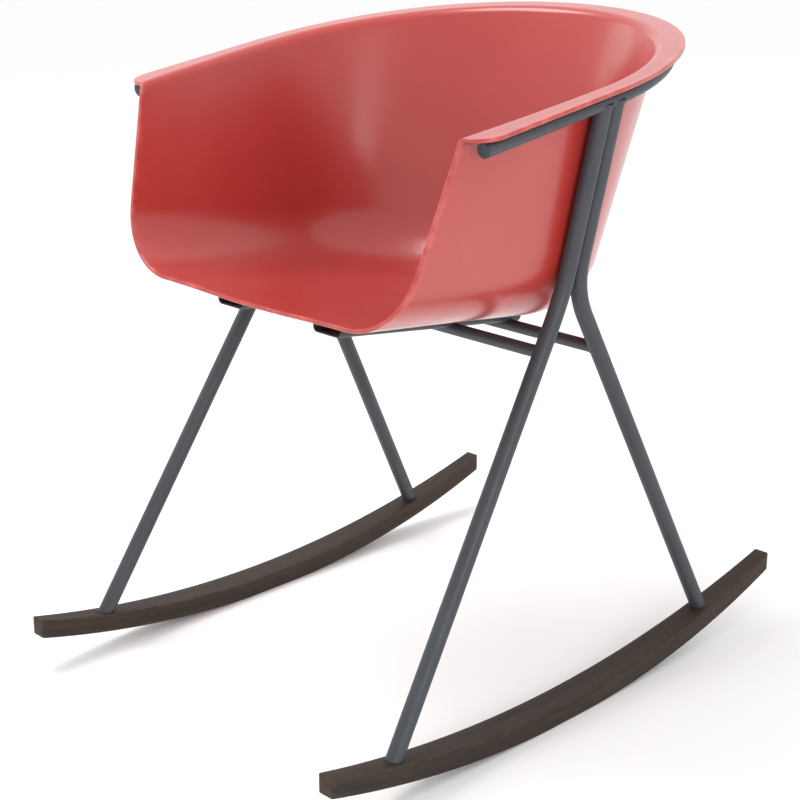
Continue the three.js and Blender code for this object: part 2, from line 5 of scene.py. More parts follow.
import bmesh
import bpy
import numpy as np
from bpy.props import FloatProperty, FloatVectorProperty, PointerProperty
from bpy.types import Operator, Panel, PropertyGroup
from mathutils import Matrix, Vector


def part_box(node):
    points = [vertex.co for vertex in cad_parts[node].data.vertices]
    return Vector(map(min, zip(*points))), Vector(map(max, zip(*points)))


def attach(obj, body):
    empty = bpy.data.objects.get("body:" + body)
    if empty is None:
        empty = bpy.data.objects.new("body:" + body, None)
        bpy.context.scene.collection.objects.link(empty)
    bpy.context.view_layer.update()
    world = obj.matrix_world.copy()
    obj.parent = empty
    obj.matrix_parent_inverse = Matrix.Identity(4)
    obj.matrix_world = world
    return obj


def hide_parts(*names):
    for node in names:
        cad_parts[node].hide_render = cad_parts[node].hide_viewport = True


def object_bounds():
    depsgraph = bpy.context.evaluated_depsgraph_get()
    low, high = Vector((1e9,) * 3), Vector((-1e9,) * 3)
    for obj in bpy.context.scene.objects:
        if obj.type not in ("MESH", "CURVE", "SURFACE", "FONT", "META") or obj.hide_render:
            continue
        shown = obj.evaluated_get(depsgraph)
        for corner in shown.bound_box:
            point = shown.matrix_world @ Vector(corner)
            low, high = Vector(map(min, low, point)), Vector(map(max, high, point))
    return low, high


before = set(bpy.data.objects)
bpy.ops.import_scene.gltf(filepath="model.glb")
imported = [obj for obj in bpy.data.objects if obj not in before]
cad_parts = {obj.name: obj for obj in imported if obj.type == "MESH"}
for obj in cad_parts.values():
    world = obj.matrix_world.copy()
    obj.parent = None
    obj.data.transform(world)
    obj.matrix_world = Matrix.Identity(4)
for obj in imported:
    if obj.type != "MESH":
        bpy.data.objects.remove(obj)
CAD_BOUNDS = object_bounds()

bl_info = {
    "name": "Tub rocking chair",
    "version": (1, 0, 0),
    "blender": (4, 5, 0),
    "location": "View3D > Sidebar > Rocking chair",
    "description": "A moulded tub on a tubular frame with two bent wood runners",
    "category": "Add Mesh",
}

HANDS = {"left": 1, "right": -1}     # sign of x
ENDS = {"front": -1, "rear": 1}      # sign of y
MERGE = 2e-6                         # vertices nearer than this become one
ROUND_SIDES = 48                     # sides of tubes and turned pieces
WELD_OVERLAP = 0.0003                # how far a tube's end reaches into the tube that it is welded to


# ---- sizes and colours ----
def length(name, description, millimetres):
    return FloatProperty(name=name, description=description, default=millimetres / 1000, unit="LENGTH",
                         precision=5)


def tilt(name, description, degrees):
    return FloatProperty(name=name, description=description, default=math.radians(degrees), subtype="ANGLE")


def colour(name, description, red, green, blue):
    linear = [((c / 255 + 0.055) / 1.055) ** 2.4 for c in (red, green, blue)]
    return FloatVectorProperty(name=name, description=description, default=linear, size=3, subtype="COLOR",
                               min=0.0, max=1.0)


def plain(name, description, value):
    return FloatProperty(name=name, description=description, default=value)


class ShellSizes(PropertyGroup):
    thickness: length("Thickness", "Wall of the moulding", 4.5)
    rim_tilt: tilt("Rim tilt", "Rise of the rim towards the back", 8.1)
    rim_height: length("Rim height", "Top of the rim in the plane y = 0", 714.5)
    rim_front: length("Rim front", "Front tip of the armrests", -177)
    side_flange: length("Side flange", "Width of the rim over the arms", 29.5)
    back_flange: length("Back flange", "Width of the rim at the back", 28)
    quarter_swell: length("Quarter swell", "Extra rim halfway round from side to back", 3.5)
    corner_radius: length("Corner radius", "Plan radius of the armrest tips", 25)
    bend_radius: length("Bend radius", "Bend between wall and rim", 13)
    tip_bend_radius: length("Tip bend radius", "The same bend at the armrest tips", 7)
    ring_y: length("Ring centre", "Centre of the rounded back in plan", 24)
    top_front_half: length("Top half width, front", "Half width of the wall top at the tips", 252)
    top_half: length("Top half width", "Half width of the wall top at the ring centre", 258)
    top_back: length("Top depth", "Depth of the wall top behind the ring centre", 270)
    base_front_half: length("Base half width, front", "Half width of the seat at its front", 219.5)
    base_half: length("Base half width", "Half width of the seat at the ring centre", 203)
    base_back: length("Base depth", "Depth of the seat behind the ring centre", 149)
    seat_front: length("Seat front", "Front edge of the seat", -235)
    seat_front_height: length("Seat front height", "Height of the seat at its front edge", 488.2)
    seat_tilt: tilt("Seat tilt", "Fall of the seat towards the back", 7.7)
    dish: length("Dish", "Depth of the hollow along the seat", 3)
    fillet_radius: length("Fillet radius", "Round between seat and wall", 82)


class TubeSizes(PropertyGroup):
    leg_diameter: length("Leg diameter", "Outside of a leg", 19)
    leg_bend: length("Leg bend", "Bend radius of a leg", 130)
    foot_front: length("Front foot", "Place of the front feet", -271)
    foot_rear: length("Rear foot", "Place of the rear feet", 261.5)
    foot_inset: length("Foot inset", "Foot centre inboard of the runner centre", 1)
    wall_clearance: length("Wall clearance", "Between a leg and the shell where the legs meet", 1.2)
    meet_y: length("Meeting place", "Middle of a pair of legs", 24)
    meet_z: length("Meeting height", "Corner of the leg bend", 492)
    arm_diameter: length("Arm tube diameter", "Outside of the arm tube", 16)
    arm_half: length("Arm tube half width", "Half width of the arm tube", 274)
    arm_back: length("Arm tube depth", "Depth of the rear bend behind the ring centre", 282.5)
    arm_front: length("Arm tube front", "Front ends of the arm tube", -168)
    cross_diameter: length("Cross tube diameter", "Outside of a cross tube", 14)
    cross_front: length("Front cross tube height", "Height on the front legs", 433.3)
    cross_rear: length("Rear cross tube height", "Height on the rear legs", 419)
    gap: length("Gap", "Clearance between pieces that touch", 0.3)
    weld: length("Weld", "Radius of the weld beads", 1.3)
    plug_face: length("Plug face", "Thickness of the tube plugs' discs", 1.6)


class RailSizes(PropertyGroup):
    centre: length("Rail centre", "Distance from the middle of the chair", 80)
    width: length("Rail width", "Outside width of the channel", 45)
    height: length("Rail height", "Height of the channel", 14.5)
    sheet: length("Sheet", "Thickness of the steel", 2)
    bend: length("Sheet bend", "Outside radius of the channel's bends", 7)
    front: length("Rail front", "Front end", -199.5)
    rear: length("Rail rear", "Rear end", 87)
    drop: length("Rail drop", "Rail floor below the underside of the seat", 20.4)


class RunnerSizes(PropertyGroup):
    spacing: length("Runner spacing", "Centre to centre", 510)
    front: length("Runner front", "Plumb-cut front end", -369.5)
    rear: length("Runner rear", "Plumb-cut rear end", 396)
    thickness: length("Runner thickness", "Thickness between the two arcs", 22.9)
    top_radius: length("Top radius", "Radius of the top face", 1389)
    low_y: length("Low point", "Where the arc touches the floor", -7.5)
    mid_width: length("Middle width", "Width at mid length", 39)
    end_width: length("End width", "Width at the ends", 20)
    land: length("Land", "Length of the flat that rests on the floor", 100)
    edge_round: length("Edge round", "Radius of the long edges", 2.2)


class FixingSizes(PropertyGroup):
    boss: length("Boss diameter", "Moulded bosses under the seat", 16)
    screw: length("Screw diameter", "Seat screws", 6)
    screw_head: length("Screw head", "Diameter of the seat screws' heads", 11)
    screw_head_height: length("Screw head height", "Height of the seat screws' heads", 3.2)
    screw_front: length("Front screws", "Place of the front seat screws", -160)
    screw_rear: length("Rear screws", "Place of the rear seat screws", 35)
    bolt: length("Bolt diameter", "Bolts through the runners", 8)
    bolt_head: length("Bolt head", "Diameter of the bolt heads", 13)
    bolt_head_height: length("Bolt head height", "Height of the bolt heads", 6)
    bolt_recess: length("Bolt recess", "Head seat above the runner's underside", 8.5)
    bush: length("Bush length", "Threaded bushes in the feet", 24)


class Finishes(PropertyGroup):
    shell: colour("Shell", "Moulded plastic", 177, 54, 49)
    shell_deep: colour("Shell, deep", "Darker drift in the plastic", 170, 50, 45)
    shell_worn: colour("Shell, edges", "Plastic polished pale along its edges", 212, 104, 98)
    paint: colour("Paint", "Powder coat of the frame", 60, 64, 70)
    paint_deep: colour("Paint, deep", "Darker drift in the powder coat", 50, 54, 59)
    paint_worn: colour("Paint, rubbed", "Rubbed specks of the powder coat", 96, 100, 105)
    wood: colour("Wood", "Stained runners", 62, 45, 32)
    wood_dark: colour("Wood, dark", "Dark grain of the runners", 30, 21, 14)
    wood_worn: colour("Wood, edges", "Rubbed edges of the runners", 82, 62, 50)
    steel: colour("Steel", "Zinc-plated fixings", 190, 192, 194)
    brass: colour("Brass", "Threaded inserts", 186, 152, 92)
    plug: colour("Plug", "Tube plugs", 48, 52, 56)
    floor: colour("Floor", "Studio floor", 253, 253, 253)


class StageSettings(PropertyGroup):
    azimuth: tilt("Azimuth", "Camera's turn round the chair", 45.192)
    elevation: tilt("Elevation", "Camera's height above the horizon", 18.597)
    distance: length("Distance", "Camera to aim point", 2091.7)
    aim_forward: length("Aim forward", "Aim point in front of the middle of the frame", 23.0)
    aim_down: length("Aim down", "Aim point below the middle of the frame", 58.4)
    lens: plain("Lens", "Focal length in millimetres on a 36 mm sensor", 78.975)
    key: plain("Key light", "Power of the overhead softbox in watts", 31.0)
    back: plain("Back light", "Power of the softbox behind the chair in watts", 1.0)
    side: plain("Side light", "Power of the softbox beside the chair in watts", 3.0)
    front: plain("Front light", "Power of the softbox in front of the chair in watts", 9.0)
    sky: plain("Sky", "Strength of the white surround", 1.0)


class RockingChair(PropertyGroup):
    shell: PointerProperty(type=ShellSizes)
    tubes: PointerProperty(type=TubeSizes)
    rails: PointerProperty(type=RailSizes)
    runner: PointerProperty(type=RunnerSizes)
    fixings: PointerProperty(type=FixingSizes)
    finish: PointerProperty(type=Finishes)
    stage: PointerProperty(type=StageSettings)


# ---- vectors and grids ----
def lerp(first, second, share):
    return first + (second - first) * share


def unit(vectors):
    size = np.linalg.norm(vectors, axis=-1, keepdims=True)
    return vectors / np.maximum(size, 1e-12)


def points(x, y, z):
    return np.stack([x, y, z], axis=-1)


def shares(count):
    """Even shares from 0 to 1."""
    return np.linspace(0, 1, count)


def full_turn(sides):
    return np.linspace(0, 2 * np.pi, sides, endpoint=False)


def along(start, end, parts):
    """Points at the given parts of the way from start to end, for one line or for a stack of lines."""
    return lerp(start[..., None, :], end[..., None, :], parts[:, None])


def bend(start, corner, end, radius, count):
    """The round at a corner: arc start + radius (sin a . into + (1 - cos a) . inward), with a from 0 to the
    angle between the two sides."""
    into = unit(corner - start)
    out = unit(end - corner)
    cosine = np.clip((into * out).sum(-1, keepdims=True), -1, 1)
    turn = np.arccos(cosine)
    inward = unit(out - into * cosine)
    reach = np.asarray(radius) * np.tan(turn / 2)
    angle = (turn * shares(count))[..., None]
    size = np.asarray(radius)[..., None] if np.ndim(radius) else radius
    first = corner - into * reach
    swing = np.sin(angle) * into[..., None, :] + (1 - np.cos(angle)) * inward[..., None, :]
    return first[..., None, :] + size * swing


def grid_faces(rows, columns, wrap_rows=False, wrap_columns=False):
    """Four-cornered faces of a grid of vertices, closed round in either direction where asked."""
    index = np.arange(rows * columns).reshape(rows, columns)
    if wrap_columns:
        index = np.hstack([index, index[:, :1]])
    if wrap_rows:
        index = np.vstack([index, index[:1]])
    corners = [index[:-1, :-1], index[1:, :-1], index[1:, 1:], index[:-1, 1:]]
    return np.stack(corners, axis=-1).reshape(-1, 4).tolist()


def capped(rings):
    """The rings with a ring shrunk to a point added at each end, so that the skin closes."""
    first = np.broadcast_to(rings[:1].mean(1, keepdims=True), rings[:1].shape)
    last = np.broadcast_to(rings[-1:].mean(1, keepdims=True), rings[-1:].shape)
    return np.concatenate([first, rings, last])


def ring_skin(rings):
    """Vertices and faces of a capped stack of closed rings."""
    closed = capped(rings)
    return closed.reshape(-1, 3), grid_faces(closed.shape[0], closed.shape[1], wrap_columns=True)


def joined(*skins):
    """Several skins as one list of vertices and faces."""
    vertices = []
    faces = []
    count = 0
    for skin_vertices, skin_faces in skins:
        faces += [[corner + count for corner in face] for face in skin_faces]
        vertices.append(skin_vertices)
        count += len(skin_vertices)
    return np.concatenate(vertices), faces


def drawing_origin(chair):
    """The drawing's origin in the frame, from the front end of a runner."""
    return np.array([0.0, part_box("runner_left")[0].y - chair.runner.front, 0.0])


def skin_mesh(name, vertices, faces):
    mesh = bpy.data.meshes.new(name)
    mesh.from_pydata(vertices.tolist(), [], faces)
    return mesh


def placed(name, data):
    """A new object in the scene."""
    item = bpy.data.objects.new(name, data)
    bpy.context.scene.collection.objects.link(item)
    return item


def close_skin(mesh):
    """Doubled vertices merged and faces turned outwards."""
    body = bmesh.new()
    body.from_mesh(mesh)
    bmesh.ops.remove_doubles(body, verts=body.verts, dist=MERGE)
    bmesh.ops.recalc_face_normals(body, faces=body.faces)
    body.to_mesh(mesh)
    body.free()


def add_piece(chair, name, skin, material, replaces, marks=None):
    """A closed piece on body root that stands for the named nodes. Marks are named numbers or vectors per
    vertex."""
    vertices, faces = skin
    mesh = skin_mesh(name, vertices + drawing_origin(chair), faces)
    for mark, values in (marks or {}).items():
        kind = "FLOAT_VECTOR" if np.ndim(values) == 2 else "FLOAT"
        layer = mesh.attributes.new(mark, kind, "POINT")
        layer.data.foreach_set("vector" if kind == "FLOAT_VECTOR" else "value", np.ravel(values))
    close_skin(mesh)
    mesh.shade_smooth()
    mesh.set_sharp_from_angle(angle=math.radians(38))
    mesh.materials.append(material)
    piece = placed(name, mesh)
    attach(piece, "root")
    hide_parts(*replaces)
    return piece


# ---- places that several pieces share ----
def rim_height(chair, y):
    return chair.shell.rim_height + math.tan(chair.shell.rim_tilt) * y


def seat_height(chair, y):
    return chair.shell.seat_front_height - math.tan(chair.shell.seat_tilt) * (y - chair.shell.seat_front)


def rail_floor(chair, y):
    underside = seat_height(chair, y) - chair.shell.thickness / math.cos(chair.shell.seat_tilt)
    return underside - chair.rails.drop


def seat_upward(chair):
    return np.array([0, math.sin(chair.shell.seat_tilt), math.cos(chair.shell.seat_tilt)])


def runner_centre_z(chair):
    bottom = chair.runner.top_radius + chair.runner.thickness
    return math.sqrt(bottom ** 2 - (chair.runner.land / 2) ** 2)


def runner_top(chair, y):
    return runner_centre_z(chair) - np.sqrt(chair.runner.top_radius ** 2 - (y - chair.runner.low_y) ** 2)


def runner_bottom(chair, y):
    radius = chair.runner.top_radius + chair.runner.thickness
    return np.maximum(runner_centre_z(chair) - np.sqrt(radius ** 2 - (y - chair.runner.low_y) ** 2), 0)


def arm_tube_height(chair, y):
    drop = chair.shell.thickness + chair.tubes.gap + chair.tubes.arm_diameter / 2
    return rim_height(chair, y) - drop / math.cos(chair.shell.rim_tilt)


def leg_meet_x(chair):
    """Just outside the shell's wall, which leans outwards from its foot to its top."""
    s = chair.shell
    foot_z = seat_height(chair, chair.tubes.meet_y)
    lean = math.atan2(s.top_half - s.base_half, rim_height(chair, chair.tubes.meet_y) - foot_z)
    wall = s.base_half + math.tan(lean) * (chair.tubes.meet_z - foot_z)
    return wall + (s.thickness + chair.tubes.leg_diameter / 2) / math.cos(lean) + chair.tubes.wall_clearance


def leg_points(chair, end, side):
    """Foot, corner and top of a leg's axis."""
    tubes = chair.tubes
    foot_y = tubes.foot_front if end == "front" else tubes.foot_rear
    column_y = tubes.meet_y + ENDS[end] * (tubes.leg_diameter + tubes.gap) / 2
    foot_x = chair.runner.spacing / 2 - tubes.foot_inset
    foot = np.array([side * foot_x, foot_y, runner_top(chair, foot_y)])
    meet = np.array([side * leg_meet_x(chair), column_y, tubes.meet_z])
    top = np.array([side * tubes.arm_half, column_y, arm_tube_height(chair, column_y)])
    return foot, meet, top


def cross_tube_end(chair, end, side):
    foot, meet, _ = leg_points(chair, end, side)
    upward = unit(meet - foot)
    height = chair.tubes.cross_front if end == "front" else chair.tubes.cross_rear
    return foot + upward * (height - foot[2]) / upward[2]


# ---- tubes ----
def tube_rings(path, radius, flat):
    """Rings round a path in a plane: centre + radius (cos a . flat + sin a . (tangent x flat)), where flat is
    the plane's normal."""
    tangent = unit(np.gradient(path, axis=0))
    side = np.cross(tangent, flat)
    angle = full_turn(ROUND_SIDES)[:, None]
    return path[:, None] + radius * (np.cos(angle) * flat + np.sin(angle) * side[:, None])


def meet_tube(ring, direction, centre, axis, radius):
    """A ring slid along a direction until each point first lies at a radius from another tube's axis."""
    offset = ring - centre
    across = offset - (offset @ axis)[:, None] * axis
    step = direction - (direction @ axis) * axis
    a = step @ step
    b = across @ step
    c = (across ** 2).sum(-1) - radius ** 2
    reach = (-b - np.sqrt(np.maximum(b * b - a * c, 0))) / a
    return ring + reach[:, None] * direction


def meet_runner(chair, ring, direction):
    """A ring slid along a direction, in four closer tries, to a working gap above a runner's top."""
    for _ in range(4):
        rise = runner_top(chair, ring[:, 1]) + chair.tubes.gap - ring[:, 2]
        ring = ring + (rise / direction[2])[:, None] * direction
    return ring


def weld_bead(loop, radius):
    """A rippled bead round a closed joint: point + r (cos b . outward + sin b . (tangent x outward)), with r
    radius (1 + swell sin c) and c a full turn for each ripple."""
    sides = 10
    swell = 0.02
    ripple_points = 6
    tangent = unit(np.roll(loop, -1, axis=0) - np.roll(loop, 1, axis=0))
    outward = loop - loop.mean(0)
    outward = unit(outward - (outward * tangent).sum(-1, keepdims=True) * tangent)
    third = np.cross(tangent, outward)
    angle = full_turn(sides)[:, None]
    wave = np.sin(np.arange(len(loop)) * 2 * np.pi / ripple_points)
    ripple = radius * (1 + swell * wave)[:, None, None]
    rings = loop[:, None] + ripple * (np.cos(angle) * outward[:, None] + np.sin(angle) * third[:, None])
    return rings.reshape(-1, 3), grid_faces(len(loop), sides, wrap_rows=True, wrap_columns=True)


def finer(loop, times):
    """A closed loop with points added between its points."""
    shares = np.arange(times)[None, :, None] / times
    following = np.roll(loop, -1, axis=0)
    return lerp(loop[:, None], following[:, None], shares).reshape(-1, 3)


def arm_tube_path(chair):
    """Straight arms joined by half an ellipse in plan, all in the tilted plane under the rim."""
    half = chair.tubes.arm_half
    angle = np.linspace(0, np.pi, 121)
    round_x = half * np.cos(angle)
    round_y = chair.shell.ring_y + chair.tubes.arm_back * np.sin(angle)
    arm_y = np.linspace(chair.tubes.arm_front, chair.shell.ring_y, 12)[:-1]
    arm_x = np.full(len(arm_y), half)
    x = np.concatenate([arm_x, round_x, -arm_x])
    y = np.concatenate([arm_y, round_y, arm_y[::-1]])
    return points(x, y, arm_tube_height(chair, y))


def arm_axis(chair):
    return np.array([0, math.cos(chair.shell.rim_tilt), math.sin(chair.shell.rim_tilt)])


def arm_tube(chair, material):
    rim_normal = np.array([0, -math.sin(chair.shell.rim_tilt), math.cos(chair.shell.rim_tilt)])
    rings = tube_rings(arm_tube_path(chair), chair.tubes.arm_diameter / 2, rim_normal)
    return add_piece(chair, "arm_tube_round", ring_skin(rings), material, ["arm_tube"])


def leg(chair, end, hand, material):
    """A bent leg, its foot cut to the runner and its top fitted to the arm tube, with a weld bead round the
    top."""
    side = HANDS[hand]
    foot, meet, top = leg_points(chair, end, side)
    upward = unit(meet - foot)
    last = unit(top - meet)
    radius = chair.tubes.leg_diameter / 2
    arc = bend(foot, meet, top, chair.tubes.leg_bend, 26)
    path = np.concatenate([along(foot, arc[0], shares(12)[:-1]), arc, along(arc[-1], top, shares(8)[1:-1]),
                           top[None]])
    flat = unit(np.cross(upward, last))
    rings = tube_rings(path, radius, flat)
    rings[0] = meet_runner(chair, rings[0], upward)
    reach = chair.tubes.arm_diameter / 2 - WELD_OVERLAP
    rings[-1] = meet_tube(rings[-1], last, top, arm_axis(chair), reach)
    rings[-2] = lerp(rings[-3], rings[-1], 0.5)
    bead = weld_bead(finer(rings[-1], 3), chair.tubes.weld)
    skin = joined(ring_skin(rings), bead)
    return add_piece(chair, f"{end}_leg_round_{hand}", skin, material, [f"{end}_leg_{hand}"])


def cross_tube(chair, end, material):
    """A straight tube fitted to the legs at both ends, with a weld bead round each end."""
    left = cross_tube_end(chair, end, 1)
    right = cross_tube_end(chair, end, -1)
    path = along(right, left, shares(24))
    rings = tube_rings(path, chair.tubes.cross_diameter / 2, np.array([0.0, 0.0, 1.0]))
    leg_radius = chair.tubes.leg_diameter / 2
    beads = []
    for row, side in ((0, -1), (-1, 1)):
        foot, meet, _ = leg_points(chair, end, side)
        inboard = rings[row] * np.array([0.5, 1, 1])
        rings[row] = meet_tube(inboard, np.array([float(side), 0, 0]), foot, unit(meet - foot),
                               leg_radius - WELD_OVERLAP)
        beads.append(weld_bead(finer(rings[row], 3), chair.tubes.weld * 0.85))
    skin = joined(ring_skin(rings), *beads)
    return add_piece(chair, f"{end}_cross_tube_round", skin, material, [f"{end}_cross_tube"])


# ---- turned pieces ----
def turned(profile, origin, axis, sides=ROUND_SIDES):
    """A piece turned about an axis. Each profile entry is radius, height and how far its ring goes from a
    circle (0) to a hexagon of that corner radius (1)."""
    profile = np.asarray(profile, float)
    helper = np.array([1.0, 0, 0]) if abs(axis[0]) < 0.9 else np.array([0, 1.0, 0])
    side = unit(np.cross(axis, helper))
    third = np.cross(axis, side)
    angle = full_turn(sides)
    hexagon = math.cos(math.pi / 6) / np.cos(angle % (math.pi / 3) - math.pi / 6)
    radius = profile[:, :1] * lerp(1, hexagon[None], profile[:, 2:3])
    rings = origin + profile[:, 1, None, None] * axis + radius[..., None] * (
        np.cos(angle)[:, None] * side + np.sin(angle)[:, None] * third)
    return rings.reshape(-1, 3), grid_faces(len(profile), sides, wrap_columns=True)


def quarter_round(radius, height, size, first, last):
    """Profile entries of a rounded corner: radius + size cos a, height + size sin a, with a from first to
    last."""
    angle = np.radians(np.linspace(first, last, 6))
    return [(radius + size * math.cos(a), height + size * math.sin(a), 0) for a in angle]


def tube_plug(chair, hand, material):
    """A plug with a softly crowned disc over the tube's end."""
    tubes = chair.tubes
    height = arm_tube_height(chair, tubes.arm_front)
    origin = np.array([HANDS[hand] * tubes.arm_half, tubes.arm_front, height])
    rim = tubes.arm_diameter / 2
    skirt = rim - 0.0022
    depth = 0.006
    neck = rim - 0.0006
    face = tubes.plug_face
    crown = 0.0004
    edge = 0.0009
    profile = [(0, -depth, 0), (skirt, -depth, 0), (skirt, 0, 0), (neck, 0, 0), (neck, tubes.gap, 0),
               (rim - 0.0002, tubes.gap, 0)]
    profile += quarter_round(rim - edge, face - edge, edge, 0, 90)
    profile += [(rim * 0.5, face + crown * 0.75, 0), (0, face + crown, 0)]
    skin = turned(profile, origin, -arm_axis(chair))
    return add_piece(chair, f"arm_tube_plug_disc_{hand}", skin, material, [f"arm_tube_plug_{hand}"])


def shank(head, radius, length_in, chamfer, gap):
    """Profile entries from under a head, up a shank to its chamfered tip."""
    return [(head, -gap, 0), (radius, -gap, 0), (radius, length_in - chamfer, 0),
            (radius - chamfer, length_in, 0), (0, length_in, 0)]


def screw_place(chair, end, hand):
    """A seat screw's middle on the underside of its rail."""
    y = chair.fixings.screw_front if end == "front" else chair.fixings.screw_rear
    return np.array([HANDS[hand] * chair.rails.centre, y, rail_floor(chair, y)])


def seat_screw(chair, end, hand, material):
    """A round-headed screw with a hexagon socket."""
    sizes = chair.fixings
    head = sizes.screw_head / 2
    low = -sizes.screw_head_height
    socket = 0.0021
    socket_top = low + 0.0018
    dome = [(head * math.cos(a), low * math.sin(a), 0) for a in np.radians(np.linspace(55, 0, 8))]
    profile = [(0, socket_top + 0.0004, 1), (socket * 0.5, socket_top + 0.0002, 1), (socket, socket_top, 1),
               (socket, low * 0.93, 1), (socket + 0.0004, low * 0.9, 0.4)]
    profile += dome + shank(head, sizes.screw / 2, length_in=0.0123, chamfer=0.0008, gap=chair.tubes.gap)
    skin = turned(profile, screw_place(chair, end, hand), seat_upward(chair))
    return add_piece(chair, f"seat_screw_dome_{end}_{hand}", skin, material,
                     [f"seat_screw_{end}_{hand}"])


def bolt_place(chair, end, hand):
    """Where a runner bolt's head sits, where the leg's axis leaves the runner, and the axis."""
    foot, meet, _ = leg_points(chair, end, HANDS[hand])
    upward = unit(meet - foot)
    head_seat = foot + upward * (chair.fixings.bolt_recess - chair.runner.thickness / upward[2])
    return head_seat, foot, upward


def runner_bolt(chair, end, hand, material):
    """A cylinder-headed bolt with a hexagon socket, up the leg's axis into its bush."""
    sizes = chair.fixings
    head_seat, foot, upward = bolt_place(chair, end, hand)
    head = sizes.bolt_head / 2
    low = -sizes.bolt_head_height
    edge = 0.0008
    reach = np.linalg.norm(foot - head_seat) + sizes.bush - 0.004
    socket = 0.0034
    profile = [(0, low + 0.0036, 1), (socket, low + 0.003, 1), (socket, low + 0.0003, 1),
               (socket + 0.0005, low, 0.4)]
    profile += quarter_round(head - edge, low + edge, edge, -90, 0)
    profile += shank(head, sizes.bolt / 2, length_in=reach, chamfer=0.001, gap=chair.tubes.gap)
    skin = turned(profile, head_seat, upward)
    return add_piece(chair, f"runner_bolt_socket_{end}_{hand}", skin, material,
                     [f"runner_bolt_{end}_{hand}"])


# ---- shell ----
# Points along each part of half the shell's plan, then up one of its lines and round its lip.
TIP_POINTS = 12
ARM_POINTS = 28
BACK_POINTS = 46
SEAT_POINTS = 14
FILLET_POINTS = 26
WALL_POINTS = 16
BEND_POINTS = 13
RIM_POINTS = 8
LIP_POINTS = 17


def shell_stations(chair):
    """Half the stations, from an armrest tip to the middle of the back: spine, foot, crest and rim edge of
    each inside line, and the radius of its bend. The tips are rounded in plan by the corner radius."""
    s = chair.shell
    reach = s.ring_y - s.rim_front
    corner = s.corner_radius * (1 - np.cos(np.linspace(0, np.pi / 2, TIP_POINTS))) / reach
    share = np.concatenate([corner, np.linspace(corner[-1], 1, ARM_POINTS)[1:]])
    from_ring = (1 - share) ** 2
    behind = share * reach
    round_left = np.maximum(s.corner_radius - behind, 0)
    flange = (s.side_flange + (s.top_half - s.top_front_half) * from_ring - s.corner_radius
              + np.sqrt(s.corner_radius ** 2 - round_left ** 2))
    angle = np.linspace(0, np.pi / 2, BACK_POINTS)[1:]
    cosine = np.cos(angle)
    sine = np.sin(angle)
    spine_y = np.concatenate([lerp(s.seat_front, s.ring_y, share), np.full(len(angle), s.ring_y)])
    foot_x = np.concatenate([lerp(s.base_half, s.base_front_half, from_ring), s.base_half * cosine])
    foot_y = np.concatenate([lerp(s.seat_front, s.ring_y, share), s.ring_y + s.base_back * sine])
    crest_x = np.concatenate([lerp(s.top_half, s.top_front_half, from_ring), s.top_half * cosine])
    crest_y = np.concatenate([lerp(s.rim_front, s.ring_y, share), s.ring_y + s.top_back * sine])
    out_x = np.concatenate([np.ones(len(share)), cosine / s.top_half])
    out_y = np.concatenate([np.zeros(len(share)), sine / s.top_back])
    out = unit(np.stack([out_x, out_y], axis=-1))
    swell = s.quarter_swell * np.sin(2 * angle) ** 2
    width = np.concatenate([flange, lerp(s.side_flange, s.back_flange, sine ** 2) + swell])
    spine = points(0 * spine_y, spine_y, seat_height(chair, spine_y))
    foot = points(foot_x, foot_y, seat_height(chair, foot_y))
    crest = points(crest_x, crest_y, rim_height(chair, crest_y))
    edge_x = crest_x + out[:, 0] * width
    edge_y = crest_y + out[:, 1] * width
    edge = points(edge_x, edge_y, rim_height(chair, edge_y))
    radius = lerp(s.bend_radius, s.tip_bend_radius, np.concatenate([from_ring, np.zeros(len(angle))]))
    return spine, foot, crest, edge, radius[:, None]


def shell_grid(chair):
    """Inside surface of the shell. Columns run up each line: seat, fillet, wall, bend and rim; rows run from
    the right armrest tip round the back to the left one. The seat is dished by dish . cos^2(90 deg . share),
    where share runs from 0 at the spine to 1 at the fillet."""
    s = chair.shell
    spine, foot, crest, edge, bend_radius = shell_stations(chair)
    fillet = bend(spine, foot, crest, s.fillet_radius, FILLET_POINTS)
    round_over = bend(foot, crest, edge, bend_radius, BEND_POINTS)
    edge = edge - unit(edge - crest) * s.thickness / 2
    seat = along(spine, fillet[:, 0], shares(SEAT_POINTS)[:-1])
    wall = along(fillet[:, -1], round_over[:, 0], shares(WALL_POINTS)[1:-1])
    rim = along(round_over[:, -1], edge, shares(RIM_POINTS)[1:])
    rows = np.concatenate([seat, fillet, wall, round_over, rim], axis=1)
    reach = np.linalg.norm(rows - spine[:, None], axis=-1)
    share = np.minimum(reach / np.linalg.norm(fillet[:, 0] - spine, axis=-1)[:, None], 1)
    rows[..., 2] -= s.dish * np.cos(share * np.pi / 2) ** 2
    mirrored = rows * np.array([-1, 1, 1])
    return np.concatenate([mirrored, rows[-2::-1]])


